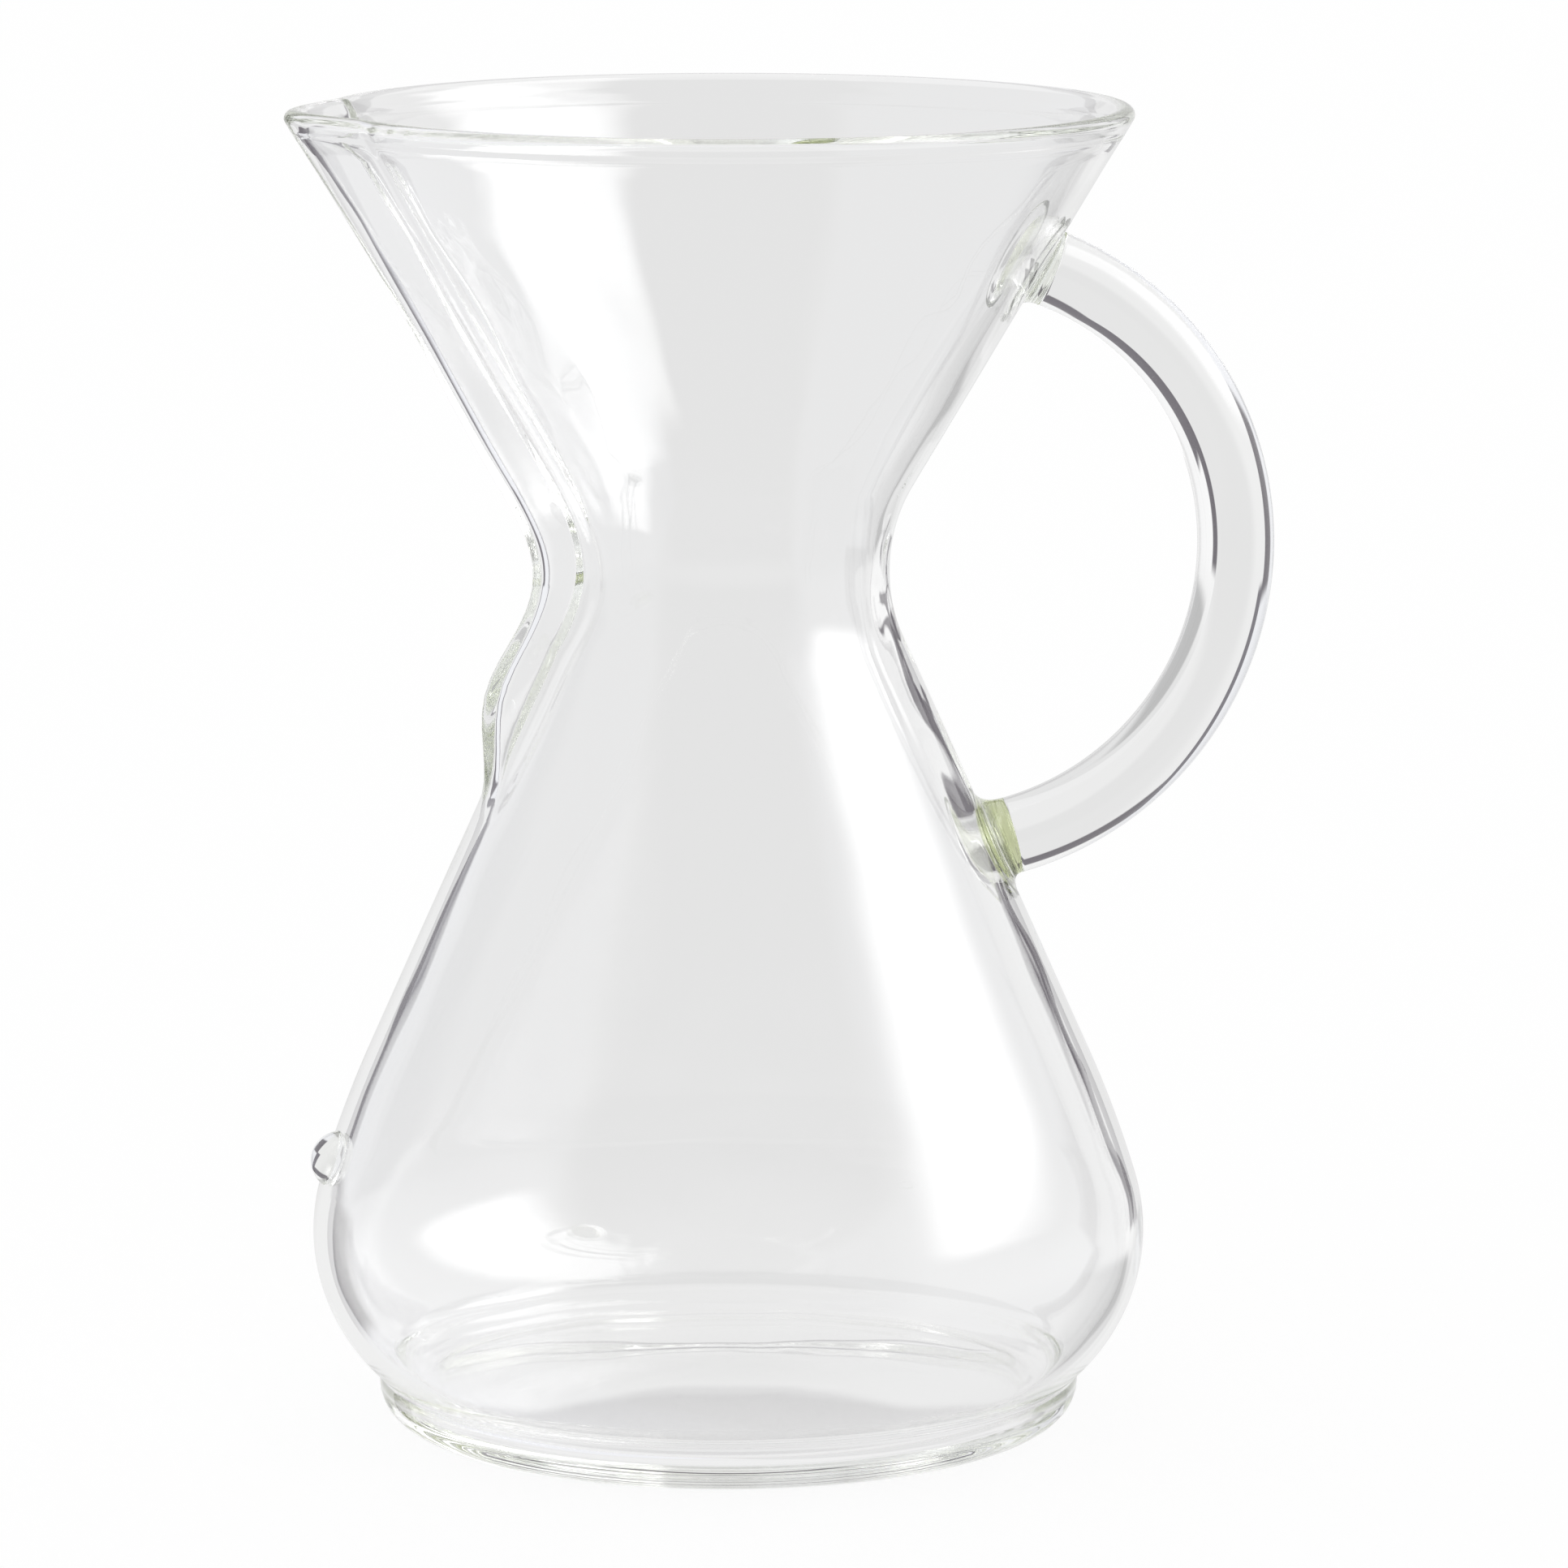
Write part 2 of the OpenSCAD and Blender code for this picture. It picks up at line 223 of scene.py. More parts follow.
@dataclass(frozen=True)
class ClearGlass:
    """Borosilicate glass, worked in the flame: colourless when thin, grey-green where it is thick.

    Flame working leaves a fire-polished skin without any grain, but with faint cords and ripples
    that bend what shows through it, and here and there a breath of haze. Where the spout was pulled
    out of the hot wall, deeper marks run down from it. The density is per metre, and the haze is
    the most roughness that a breath of it has.
    """

    name: str
    passed_colour: str = "#CCDAA2"
    density: float = 0.45
    ior: float = 1.474
    cord_mm: float = 16.0
    cord_height_mm: float = 0.012
    cord_swirl: float = 0.6
    ripple_mm: float = 5.0
    ripple_height_mm: float = 0.0016
    haze: float = 0.012
    haze_band: tuple[float, float] = (0.35, 0.75)
    stretch: tuple[float, float, float] = (1.0, 1.0, 0.45)
    pull_mm: float = 12.0
    pull_height_mm: float = 0.0
    pull_lean: float = -30.0
    pull_stretch: tuple[float, float, float] = (1.0, 1.0, 0.3)
    pull_swirl: float = 1.2
    pull_reach_mm: tuple[float, float] = (-34.0, -56.0)
    pull_rise_mm: tuple[float, float] = (165.0, 205.0)

    def pull_marks(self, tree: NodeTree, place: NodeSocket, normal: NodeSocket) -> NodeSocket:
        """Adds the marks that pulling the spout left on this side of the funnel.

        Args:
            tree: The material's nodes.
            place: The place on the piece.
            normal: The normal so far.

        Returns:
            The normal with the marks on it.
        """
        drawn = add_node(tree, "Mapping", None,
                         {"Vector": place, "Scale": self.pull_stretch,
                          "Rotation": (0.0, math.radians(self.pull_lean), 0.0)})
        marks = add_node(tree, "TexNoise", None,
                         {"Vector": drawn.outputs["Vector"], "Scale": 1 / (self.pull_mm * MM),
                          "Detail": 0.0, "Distortion": self.pull_swirl})
        parts = add_node(tree, "SeparateXYZ", None, {"Vector": place})
        near, above = (
            add_node(tree, "MapRange", {"interpolation_type": "SMOOTHSTEP"},
                     {"Value": parts.outputs[axis], "From Min": low * MM, "From Max": high * MM})
            for axis, (low, high) in (("X", self.pull_reach_mm), ("Z", self.pull_rise_mm)))
        share = add_node(tree, "Math", {"operation": "MULTIPLY"},
                         {0: near.outputs["Result"], 1: above.outputs["Result"]})
        height = add_node(tree, "Math", {"operation": "MULTIPLY"},
                          {0: marks.outputs["Fac"], 1: share.outputs["Value"]})
        return add_node(tree, "Bump", None,
                        {"Distance": self.pull_height_mm * MM,
                         "Height": height.outputs["Value"], "Normal": normal}).outputs["Normal"]

    def material(self) -> Material:
        """Builds the node material, and returns it."""
        made = bpy.data.materials.new(self.name)
        made.use_nodes = True
        tree = made.node_tree
        tree.nodes.clear()
        place = add_node(tree, "TexCoord")
        drawn = add_node(tree, "Mapping", None,
                         {"Vector": place.outputs["Object"], "Scale": self.stretch})
        cords = add_node(tree, "TexNoise", None,
                         {"Vector": drawn.outputs["Vector"], "Scale": 1 / (self.cord_mm * MM),
                          "Detail": 1.0, "Roughness": 0.4, "Distortion": self.cord_swirl})
        ripples = add_node(tree, "TexNoise", None,
                           {"Vector": place.outputs["Object"], "Scale": 1 / (self.ripple_mm * MM),
                            "Detail": 1.0, "Roughness": 0.5})
        swell = add_node(tree, "Bump", None,
                         {"Distance": self.cord_height_mm * MM, "Height": cords.outputs["Fac"]})
        waves = add_node(tree, "Bump", None,
                         {"Distance": self.ripple_height_mm * MM,
                          "Height": ripples.outputs["Fac"], "Normal": swell.outputs["Normal"]})
        normal = waves.outputs["Normal"]
        if self.pull_height_mm:
            normal = self.pull_marks(tree, place.outputs["Object"], normal)
        breath = add_node(tree, "MapRange", None,
                          {"Value": cords.outputs["Fac"], "From Min": self.haze_band[0],
                           "From Max": self.haze_band[1], "To Max": self.haze})
        skin = add_node(tree, "BsdfPrincipled", None,
                        {"Base Color": linear("#FFFFFF"), "IOR": self.ior,
                         "Transmission Weight": 1.0, "Roughness": breath.outputs["Result"],
                         "Normal": normal})
        depth = add_node(tree, "VolumeAbsorption", None,
                         {"Color": linear(self.passed_colour), "Density": self.density})
        add_node(tree, "OutputMaterial", None,
                 {"Surface": skin.outputs["BSDF"], "Volume": depth.outputs["Volume"]})
        return made

    def dress(self, piece: Object) -> None:
        """Puts this glass on a piece."""
        piece.data.materials.append(self.material())


class GlassLot(Enum):
    """The glass of each piece: all borosilicate, told apart by how it was worked."""

    # blown thin: no colour, but cords and pull marks bend what shows through it
    BLOWN = ClearGlass("blown_borosilicate_glass", cord_height_mm=0.018, haze=0.004,
                       pull_height_mm=0.09)
    # drawn thick and even: a clean lens with hardly a ripple
    ROD = ClearGlass("drawn_borosilicate_rod", cord_mm=9.0, cord_height_mm=0.002,
                     ripple_height_mm=0.0004, haze=0.0, stretch=(1.0, 1.0, 0.3))
    # melted on thinly: a trace of grey-green and short ripples
    THIN_MELT = ClearGlass("thinly_melted_borosilicate_glass", passed_colour="#BFCF9A",
                           density=14.0, cord_mm=3.0, cord_height_mm=0.01, ripple_mm=2.0,
                           ripple_height_mm=0.001, haze=0.02, stretch=(1.0, 1.0, 0.3))
    # melted into a thick collar: it gathers the green of the glass
    THICK_MELT = ClearGlass("thickly_melted_borosilicate_glass", passed_colour="#BCC848",
                            density=72.0, cord_mm=4.0, cord_height_mm=0.002, ripple_mm=2.0,
                            ripple_height_mm=0.0005, haze=0.01)
    # pressed on hot: a smooth drop, faintly green
    BUTTON = ClearGlass("pressed_borosilicate_button", passed_colour="#B4BE8C", density=8.0,
                        cord_mm=5.0, cord_height_mm=0.002, ripple_height_mm=0.0008, haze=0.01)


# ---- the blown body


@dataclass(frozen=True)
class AirChannel:
    """The spout and the air channel below it, as a lift of the wall. Millimetres and degrees."""

    stations: tuple[float, ...]
    depths: tuple[float, ...] = (0.0, 8.0, 5.8, 7.3, 6.1, 6.1)
    half_angles: tuple[float, ...] = (11.0, 15.75, 26.5, 23.5, 20.5, 20.5)
    nose_share: float = 0.22
    shoulder_power: float = 1.35

    def eased(self, z: float, values: Sequence[float]) -> float:
        """Reads a value at a height, eased from each station to the next.

        Args:
            z: The height.
            values: The value at each station.

        Returns:
            The value at that height.
        """
        inside = [i for i in range(len(self.stations) - 1) if z >= self.stations[i]]
        i = max(inside, default=0)
        share = rise(z, self.stations[i], self.stations[i + 1])
        return values[i] + (values[i + 1] - values[i]) * share

    def form(self, share: float) -> float:
        """Reads the cross-section, which has a rounded nose.

        Args:
            share: Place from the middle, 0, to the edge, 1.

        Returns:
            The lift's share: 1 in the middle and 0 at the edges.
        """
        if share >= 1:
            return 0.0
        nose = self.nose_share
        flank = (math.hypot(share, nose) - nose) / (math.hypot(1.0, nose) - nose)
        return (1 - flank) ** self.shoulder_power

    def lift(self, angle: float, z: float) -> float:
        """Works out how far the channel lifts the wall outward.

        Args:
            angle: Angle from the middle of the spout, in degrees.
            z: The height.

        Returns:
            The lift.
        """
        if z <= self.stations[0]:
            return 0.0
        return self.eased(z, self.depths) * self.form(abs(angle) / self.eased(z, self.half_angles))


@dataclass(frozen=True)
class BodyLine:
    """Outline of the blown body, with the values and curves of the part's source. Millimetres."""

    height: float = 225.0
    wall: float = 3.0
    mouth_r: float = 68.4
    neck_r: float = 27.6
    neck_z: float = 146.0
    neck_bend: float = 29.0
    belly_r: float = 71.2
    belly_z: float = 32.5
    belly_bend: float = 31.5
    shoulder_lead: float = 6.4
    shoulder_bend: float = 195.0
    foot_inset: float = 11.2
    foot_corner: float = 6.2
    foot_crease: float = 1.6
    floor_wall: float = 3.8
    floor_rise: float = 2.4
    stand_ring: float = 2.0
    channel_drop: float = 41.5
    channel_swell: float = 0.58
    straight_step: float = 3.2
    crease_steps: int = 8
    belly_steps: int = 28
    shoulder_steps: int = 10
    neck_steps: int = 24
    upper_edge_steps: int = 6
    rim_steps: int = 14
    corner_steps: int = 10
    inner_corner_steps: int = 8
    floor_steps: int = 16

    @property
    def neck_c(self) -> Vector:
        """Centre of the neck's bend."""
        return Vector((self.neck_r + self.neck_bend, self.neck_z))

    @property
    def belly_c(self) -> Vector:
        """Centre of the belly's round."""
        return Vector((self.belly_r - self.belly_bend, self.belly_z))

    @property
    def rim_c(self) -> Vector:
        """Centre of the rounded rim."""
        return Vector((self.mouth_r - self.wall / 2, self.height - self.wall / 2))

    @property
    def belly_turn(self) -> float:
        """Angle at which the belly's round passes into the long curve of the shoulder."""
        return tangent_slope(self.belly_c, self.belly_bend, self.neck_c,
                             self.neck_bend) - self.shoulder_lead

    @property
    def shoulder_c(self) -> Vector:
        """Centre of the long curve of the shoulder."""
        turn = math.radians(self.belly_turn)
        return self.belly_c - (self.shoulder_bend - self.belly_bend) * Vector(
            (math.cos(turn), math.sin(turn)))

    @property
    def foot_r(self) -> float:
        """Outer radius of the foot."""
        return self.belly_r - self.foot_inset

    @property
    def crease_c(self) -> Vector:
        """Centre of the hollow that parts the foot from the belly."""
        x = self.foot_r + self.foot_crease
        rise = math.sqrt((self.belly_bend + self.foot_crease) ** 2 - (x - self.belly_c.x) ** 2)
        return Vector((x, self.belly_z - rise))

    @property
    def corner_c(self) -> Vector:
        """Centre of the foot's rounded lower edge."""
        return Vector((self.foot_r - self.foot_corner, self.foot_corner))

    @property
    def shoulder_slope(self) -> float:
        """Slope of the straight shoulder, as the angle of its normal."""
        return tangent_slope(self.shoulder_c, self.shoulder_bend, self.neck_c, self.neck_bend)

    @property
    def funnel_slope(self) -> float:
        """Slope of the funnel, as the angle of its normal."""
        apart = self.neck_c - self.rim_c
        return angle_of(apart) + math.degrees(
            math.acos((self.neck_bend + self.wall / 2) / apart.length))

    def straight(self, first: Vector, last: Vector) -> list[Vector]:
        """Parts a straight stretch of the wall into even steps, both ends left out."""
        return between(first, last, max(2, round((last - first).length / self.straight_step)))

    def wall_line(self, depth: float) -> list[Vector]:
        """Follows the wall at a depth under the outer skin.

        Args:
            depth: Depth under the outer skin.

        Returns:
            The points, from the crease over the belly and the neck up to the rim.
        """
        crease_turn = angle_of(self.belly_c - self.crease_c)
        crease = arc(self.crease_c, self.foot_crease + depth, 180, crease_turn, self.crease_steps)
        belly = arc(self.belly_c, self.belly_bend - depth, crease_turn - 180, self.belly_turn,
                    self.belly_steps)
        shoulder = arc(self.shoulder_c, self.shoulder_bend - depth, self.belly_turn,
                       self.shoulder_slope, self.shoulder_steps)
        neck = arc(self.neck_c, self.neck_bend + depth, 180 + self.shoulder_slope,
                   180 + self.funnel_slope, self.neck_steps)
        slope = math.radians(self.funnel_slope)
        rim = self.rim_c + (self.wall / 2 - depth) * Vector((math.cos(slope), math.sin(slope)))
        funnel = self.straight(neck[-1], rim)
        return (crease + belly[1:] + shoulder[1:] + self.straight(shoulder[-1], neck[0]) + neck
                + funnel + between(funnel[-1], rim, self.upper_edge_steps))

    def outline(self) -> list[Vector]:
        """Returns the whole outline, from the underside's middle round to the floor's middle."""
        stand_r = self.corner_c.x - self.stand_ring
        steps = self.floor_steps
        underside = [Vector((stand_r * i / steps, self.floor_rise * (1 - ease(i / steps))))
                     for i in range(steps + 1)]
        foot_edge = arc(self.corner_c, self.foot_corner, -90, 0, self.corner_steps)
        rim = arc(self.rim_c, self.wall / 2, self.funnel_slope, 180 + self.funnel_slope,
                  self.rim_steps)
        inner_r = self.foot_r - self.wall
        rise = self.crease_c.y - self.floor_wall
        edge = [Vector((inner_r - self.foot_corner * (1 - math.cos(a)),
                        self.floor_wall + rise * (1 - math.sin(a))))
                for a in (math.pi / 2 * i / self.inner_corner_steps
                          for i in range(1, self.inner_corner_steps + 1))]
        flat_r = inner_r - self.foot_corner
        inner_floor = [Vector((flat_r * i / steps,
                               self.floor_wall + self.floor_rise * (1 - ease(i / steps))))
                       for i in range(steps - 1, -1, -1)]
        inner = self.wall_line(self.wall)[::-1]
        return underside + foot_edge + self.wall_line(0) + rim + inner + edge + inner_floor


@dataclass
class BlownBody:
    """The blown bubble of glass: funnel, spout with its air channel, neck, flask, foot and floor.

    A wander is the most that the wall moves, and its height is how tall its waves are, both in
    millimetres. Bands are heights, and angles are counted from the spout: a wander swells from the
    first to the second and dies down from the third to the fourth.
    """

    line: BodyLine = BodyLine()
    columns: int = 288
    wedges: int = 24
    channel_arc: float = 60.0
    channel_share: float = 0.35
    thickness_wander: float = 0.07
    thickness_fineness: float = 2.1
    thickness_band: tuple[float, ...] = (7.0, 19.0, 215.0, 223.0)
    shape_wander: tuple[tuple[float, float], ...] = (
        (8.0, 0.0), (25.0, 0.0), (45.0, 0.08), (75.0, 0.22), (125.0, 0.22), (146.0, 0.3),
        (165.0, 0.5), (200.0, 0.6), (214.0, 0.45), (223.0, 0.0))
    shape_seed: tuple[float, float, float] = (7.0, 3.0, 5.0)
    wander_turns: float = 2.3
    wander_height: float = 26.0
    joint_wander: float = 0.7
    joint_fineness: float = 1.5
    joint_height: float = 11.0
    joint_narrowness: int = 12
    joint_rise: tuple[float, float] = (80.0, 105.0)
    spout_wander: float = 1.0
    spout_fineness: float = 2.0
    spout_height: float = 15.0
    spout_angles: tuple[float, ...] = (20.0, 36.0, 94.0, 128.0)
    spout_band: tuple[float, ...] = (152.0, 168.0, 207.0, 219.0)
    rim_bead: float = 0.5
    rim_bead_rise: tuple[float, float] = (221.4, 222.6)
    skin: BVHTree | None = None

    @property
    def channel(self) -> AirChannel:
        """The air channel, at the heights that the outline gives it."""
        end_z = self.line.neck_z - self.line.channel_drop
        slope = math.radians(self.line.funnel_slope)
        bend_z = self.line.neck_z - self.line.neck_bend * math.sin(slope)
        swell_z = end_z + self.line.channel_drop * self.line.channel_swell
        return AirChannel((end_z, swell_z, self.line.neck_z, bend_z,
                           (bend_z + self.line.height) / 2, self.line.height))

    def turn(self) -> BMesh:
        """Turns the outline into a wedge and copies it round the axis, and returns the body."""
        body = bmesh.new()
        line = [body.verts.new((-p.x * MM, 0.0, p.y * MM)) for p in self.line.outline()]
        edges = [body.edges.new(pair) for pair in zip(line, line[1:])]
        step = math.tau / self.wedges
        bmesh.ops.spin(body, geom=line + edges, axis=(0, 0, 1), angle=step,
                       steps=self.columns // self.wedges)
        wedge = [*body.verts, *body.edges, *body.faces]
        bmesh.ops.spin(body, geom=wedge, axis=(0, 0, 1), angle=math.tau - step,
                       steps=self.wedges - 1, use_duplicate=True)
        bmesh.ops.remove_doubles(body, verts=body.verts, dist=MERGE)
        bmesh.ops.recalc_face_normals(body, faces=body.faces)
        return body

    def crowd(self, angle: float) -> float:
        """Moves a column's angle so that the columns stand close together over the channel.

        Args:
            angle: Angle from the middle of the spout with all columns evenly spaced, in degrees.

        Returns:
            The angle at which the column stands.
        """
        even, close = 180 * self.channel_share, self.channel_arc / 2
        if abs(angle) <= even:
            return angle * close / even
        return math.copysign(close + (abs(angle) - even) * (180 - close) / (180 - even), angle)

    def press_channel(self, body: BMesh) -> None:
        """Lifts both skins along the air channel, up to the pouring lip.

        Args:
            body: The body, which is changed.
        """
        channel = self.channel
        for vert in body.verts:
            angle = self.crowd(math.degrees(math.atan2(vert.co.y, -vert.co.x)))
            radius = vert.co.xy.length
            if radius:
                radius += channel.lift(angle, vert.co.z / MM) * MM
                turn = math.radians(angle)
                vert.co.xy = -radius * math.cos(turn), radius * math.sin(turn)

    def wander_at(self, z: float) -> float:
        """Reads how far the shape of the wall wanders.

        Args:
            z: The height.

        Returns:
            The most that it moves inward there, in millimetres.
        """
        for (low, first), (high, last) in zip(self.shape_wander, self.shape_wander[1:]):
            if low <= z <= high:
                return first + (last - first) * rise(z, low, high)
        return 0.0

    def beside_spout(self, place: Vector) -> float:
        """Returns how far a place was softened while the spout was pulled, from 0 to 1."""
        angle = abs(math.degrees(math.atan2(place.y, -place.x)))
        return plateau(angle, self.spout_angles) * plateau(place.z / MM, self.spout_band)

    def let_wander(self, body: BMesh) -> None:
        """Gives the wall the unevenness of blown glass: in its shape, and less in its thickness.

        Both skins move inward together where the shape wanders, most beside the spout, so the body
        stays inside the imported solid. The inner skin alone wanders in thickness, and more beside
        the handle's joints, where the flame softened it. Fire-polishing left a slight bead inside
        the rim.

        Args:
            body: The body, which is changed.
        """
        body.normal_update()
        moves = []
        for vert in body.verts:
            around = math.atan2(vert.co.y, vert.co.x)
            z = vert.co.z / MM
            at = Vector((math.cos(around) * self.wander_turns, math.sin(around) * self.wander_turns,
                         z / self.wander_height))
            outward = Vector((vert.co.x, vert.co.y, 0.0)).normalized()
            outer = vert.normal.dot(outward) > 0
            shape = self.wander_at(z) * drift(at + Vector(self.shape_seed))
            shape += self.spout_wander * self.beside_spout(vert.co) * drift(
                Vector((at.x * self.spout_fineness, at.y * self.spout_fineness,
                        z / self.spout_height)))
            bead = self.rim_bead * rise(z, *self.rim_bead_rise)
            bead *= 0.5 - 0.5 * vert.normal.dot(outward)
            move = outward * -(shape + bead)
            if not outer:
                near_joint = max(0.0, math.cos(around)) ** self.joint_narrowness * rise(
                    z, *self.joint_rise)
                wave = self.thickness_wander * noise.noise(at * self.thickness_fineness)
                wave += self.joint_wander * near_joint * noise.noise(
                    Vector((at.x * self.joint_fineness, at.y * self.joint_fineness,
                            z / self.joint_height)))
                move += vert.normal * wave * plateau(z, self.thickness_band)
            moves.append(move * MM)
        for vert, move in zip(body.verts, moves):
            vert.co += move

    def build(self) -> Object:
        """Builds the body and dresses it.

        Returns:
            The finished piece.
        """
        body = self.turn()
        self.press_channel(body)
        self.let_wander(body)
        body.normal_update()
        self.skin = BVHTree.FromBMesh(body)
        piece = make_piece("blown_body", body)
        GlassLot.BLOWN.value.dress(piece)
        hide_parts("glass_body")
        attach(piece, "root")
        return piece

    def meet(self, start: Vector, direction: Vector) -> tuple[Vector, Vector]:
        """Finds where a line first meets the body's skin.

        Args:
            start: Start of the line.
            direction: Its direction.

        Returns:
            The place and the skin's outward normal there.
        """
        place, normal, _, _ = self.skin.ray_cast(start, direction)
        if place is None:
            raise ValueError(f"the line from {tuple(start)} misses the body")
        return place, normal if normal.dot(direction) < 0 else -normal

    def wall_r(self, z: float) -> float:
        """Reads the outer radius of the plain wall.

        Args:
            z: The height.

        Returns:
            The radius.
        """
        wall = self.line.wall_line(0)
        for low, high in zip(wall, wall[1:]):
            if low.y <= z <= high.y:
                return low.lerp(high, (z - low.y) / (high.y - low.y)).x
        raise ValueError(f"no wall at {z} mm")


# ---- the handle and its welds


@dataclass
class RodHandle:
    """The solid glass rod, bent to one arc from the funnel to the shoulder. Millimetres."""

    body: BlownBody
    rod_d: float = 13.2
    upper_weld_drop: float = 27.6
    lower_weld_drop: float = 47.4
    bow_reach: float = 38.0
    upper_weld_t: float = 2.0
    lower_weld_t: float = 3.0
    overlap: float = 0.05
    sides: int = 160
    steps: int = 280
    unevenness: float = 0.09
    uneven_waves: float = 5.0
    uneven_side: float = 0.05
    uneven_seed: float = 2.0
    even_end: float = 0.125

    def __post_init__(self) -> None:
        """Works out the arc from the two joints, as the part's source does."""
        line = self.body.line
        top_z = line.height - self.upper_weld_drop
        low_z = line.neck_z - self.lower_weld_drop
        top = Vector((self.body.wall_r(top_z), top_z))
        low = Vector((self.body.wall_r(low_z), low_z))
        chord = top - low
        half = chord.length / 2
        self.bow_r = (half ** 2 + self.bow_reach ** 2) / (2 * self.bow_reach)
        side = Vector((chord.y, -chord.x)) / chord.length
        self.bow_c = (top + low) / 2 - (self.bow_r - self.bow_reach) * side
        self.top_turn = angle_of(top - self.bow_c) - math.degrees(self.upper_weld_t / self.bow_r)
        self.foot_turn = angle_of(low - self.bow_c) + math.degrees(self.lower_weld_t / self.bow_r)

    def at(self, degrees: float, out: float = 0.0, side: float = 0.0) -> Vector:
        """Gives a place beside the bow's middle line, in metres.

        Args:
            degrees: Angle along the bow.
            out: Distance outward from the middle line, away from the bow's centre.
            side: Distance to the side, along +Y.

        Returns:
            The place.
        """
        turn = math.radians(degrees)
        reach = self.bow_r + out
        return Vector((self.bow_c.x + reach * math.cos(turn), side,
                       self.bow_c.y + reach * math.sin(turn))) * MM

    def along(self, degrees: float) -> Vector:
        """Returns the direction of the bow at an angle, towards the upper end."""
        turn = math.radians(degrees)
        return Vector((-math.sin(turn), 0.0, math.cos(turn)))

    def build(self) -> Object:
        """Bends the rod and dresses it.

        Returns:
            The finished piece.
        """
        spare = math.degrees(self.overlap / self.bow_r)
        foot, top = self.foot_turn - spare, self.top_turn + spare
        rod = bmesh.new()
        ring = bmesh.ops.create_circle(rod, segments=self.sides,
                                       radius=self.rod_d / 2 * MM)["verts"]
        bmesh.ops.translate(rod, verts=ring, vec=(self.bow_r * MM, 0, 0))
        bmesh.ops.rotate(rod, verts=ring, matrix=Matrix.Rotation(math.radians(-foot), 3, "Y"))
        middle = Vector((self.bow_c.x, 0, self.bow_c.y)) * MM
        bmesh.ops.translate(rod, verts=ring, vec=middle)
        first = list(rod.edges)
        swept = bmesh.ops.spin(rod, geom=ring + first, cent=middle, axis=(0, -1, 0),
                               angle=math.radians(top - foot), steps=self.steps)
        self.let_vary(rod, foot, top)
        last = [part for part in swept["geom_last"] if isinstance(part, BMEdge)]
        for end in (first, last):
            bmesh.ops.contextual_create(rod, geom=end)
        piece = make_piece("rod_handle", rod)
        piece.data.polygons.foreach_set(
            "use_smooth", [len(face.vertices) < 5 for face in piece.data.polygons])
        GlassLot.ROD.value.dress(piece)
        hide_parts("handle")
        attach(piece, "root")
        return piece

    def let_vary(self, rod: BMesh, foot: float, top: float) -> None:
        """Lets the drawn rod vary a little in thickness, never above its full size.

        Args:
            rod: The swept rod.
            foot: Angle of its lower end.
            top: Angle of its upper end.
        """
        for vert in rod.verts:
            place = vert.co / MM
            flat = Vector((place.x, place.z)) - self.bow_c
            turn = angle_of(flat)
            middle = self.at(turn)
            share = (turn - foot) / (top - foot)
            fade = ease(share / self.even_end) * ease((1 - share) / self.even_end)
            wave = drift(Vector((share * self.uneven_waves, place.y * self.uneven_side,
                                 self.uneven_seed)))
            vert.co = middle + (vert.co - middle) * (
                1 - self.unevenness * fade * wave / (self.rod_d / 2))


class WeldEnd(Enum):
    """Which end of the rod a weld joins to the wall."""

    UPPER = "upper"
    LOWER = "lower"


